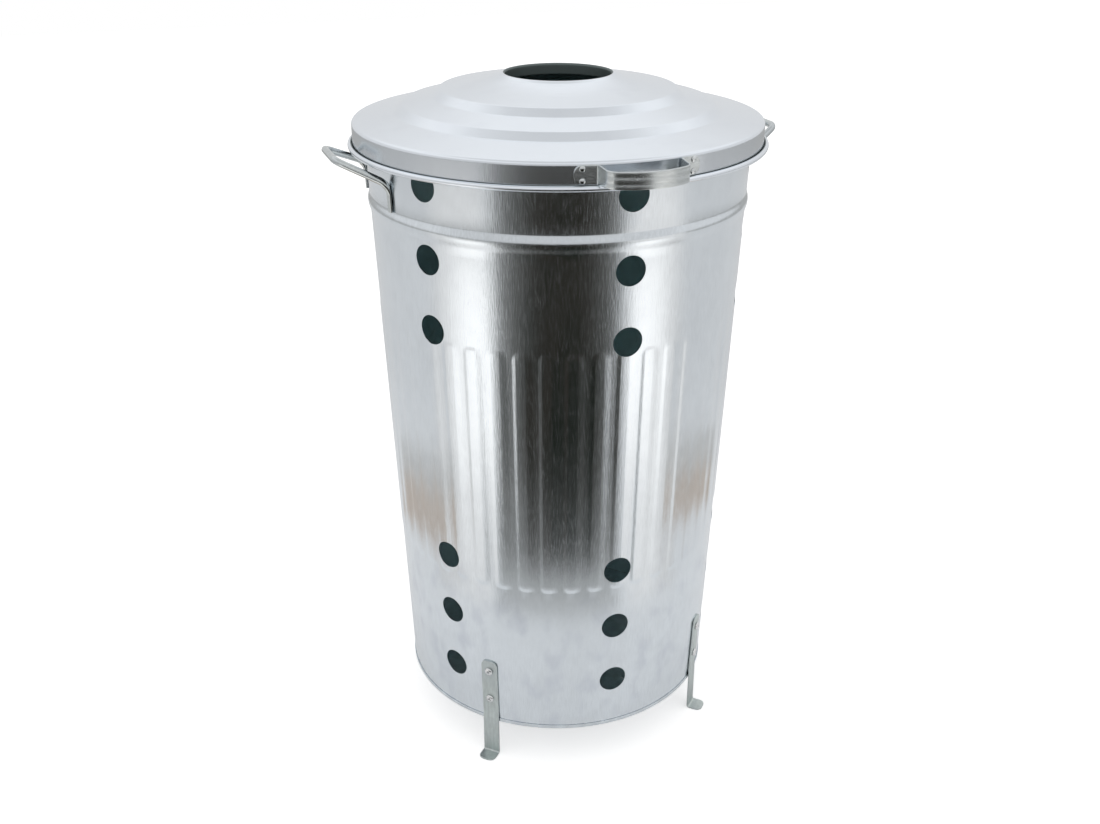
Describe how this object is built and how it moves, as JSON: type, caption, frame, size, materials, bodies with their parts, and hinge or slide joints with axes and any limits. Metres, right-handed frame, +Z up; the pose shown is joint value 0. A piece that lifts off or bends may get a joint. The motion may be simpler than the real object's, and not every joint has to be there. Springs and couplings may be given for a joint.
{
  "type": "metal compost bin",
  "caption": "Tapered round galvanised bin with ribbed wall, air holes, strap legs, side handles and a lift-off lid with a central opening.",
  "frame": {"origin": "centre of the base plate's underside, on the bin's axis, 48 mm above the ground that the feet stand on", "axes": "+Z up along the bin's axis, -Y to the front where the lid's handle is, the two wall handles on +X and -X"},
  "size_m": [0.5252, 0.4992, 0.7976],
  "materials": {
    "wall_sheet": "bright galvanised sheet, faint spangle and rolling lines",
    "base_sheet": "dull galvanised sheet",
    "rim_wire_steel": "drawn wire",
    "handle_rod": "galvanised rod",
    "leg_strap": "dull galvanised strap",
    "bright_screw": "bright zinc plate",
    "plain_nut": "zinc plate",
    "lid_sheet": "satin galvanised sheet",
    "lid_strap": "rolled bright strap",
    "soft_rivet": "plain domed rivet"
  },
  "bodies": {
    "bin": {"body_shell": "wall_sheet", "base_plate": "base_sheet", "rim_wire": "rim_wire_steel", "body_handle_left": "handle_rod", "body_handle_right": "handle_rod", "leg_front_left": "leg_strap", "leg_front_right": "leg_strap", "leg_rear_left": "leg_strap", "leg_rear_right": "leg_strap", "leg_front_left_screw_upper": "bright_screw", "leg_front_left_screw_lower": "bright_screw", "leg_front_right_screw_upper": "bright_screw", "leg_front_right_screw_lower": "bright_screw", "leg_rear_left_screw_upper": "bright_screw", "leg_rear_left_screw_lower": "bright_screw", "leg_rear_right_screw_upper": "bright_screw", "leg_rear_right_screw_lower": "bright_screw", "leg_front_left_nut_upper": "plain_nut", "leg_front_left_nut_lower": "plain_nut", "leg_front_right_nut_upper": "plain_nut", "leg_front_right_nut_lower": "plain_nut", "leg_rear_left_nut_upper": "plain_nut", "leg_rear_left_nut_lower": "plain_nut", "leg_rear_right_nut_upper": "plain_nut", "leg_rear_right_nut_lower": "plain_nut"},
    "lid": {"lid_shell": "lid_sheet", "lid_handle": "lid_strap", "lid_rivet_left_upper": "soft_rivet", "lid_rivet_left_lower": "soft_rivet", "lid_rivet_right_upper": "soft_rivet", "lid_rivet_right_lower": "soft_rivet"}
  },
  "joints": [
    {"name": "lid_lift", "type": "slide", "parent": "bin", "child": "lid", "axis": [0, 0, 1], "range_m": [0, 0.25]}
  ]
}
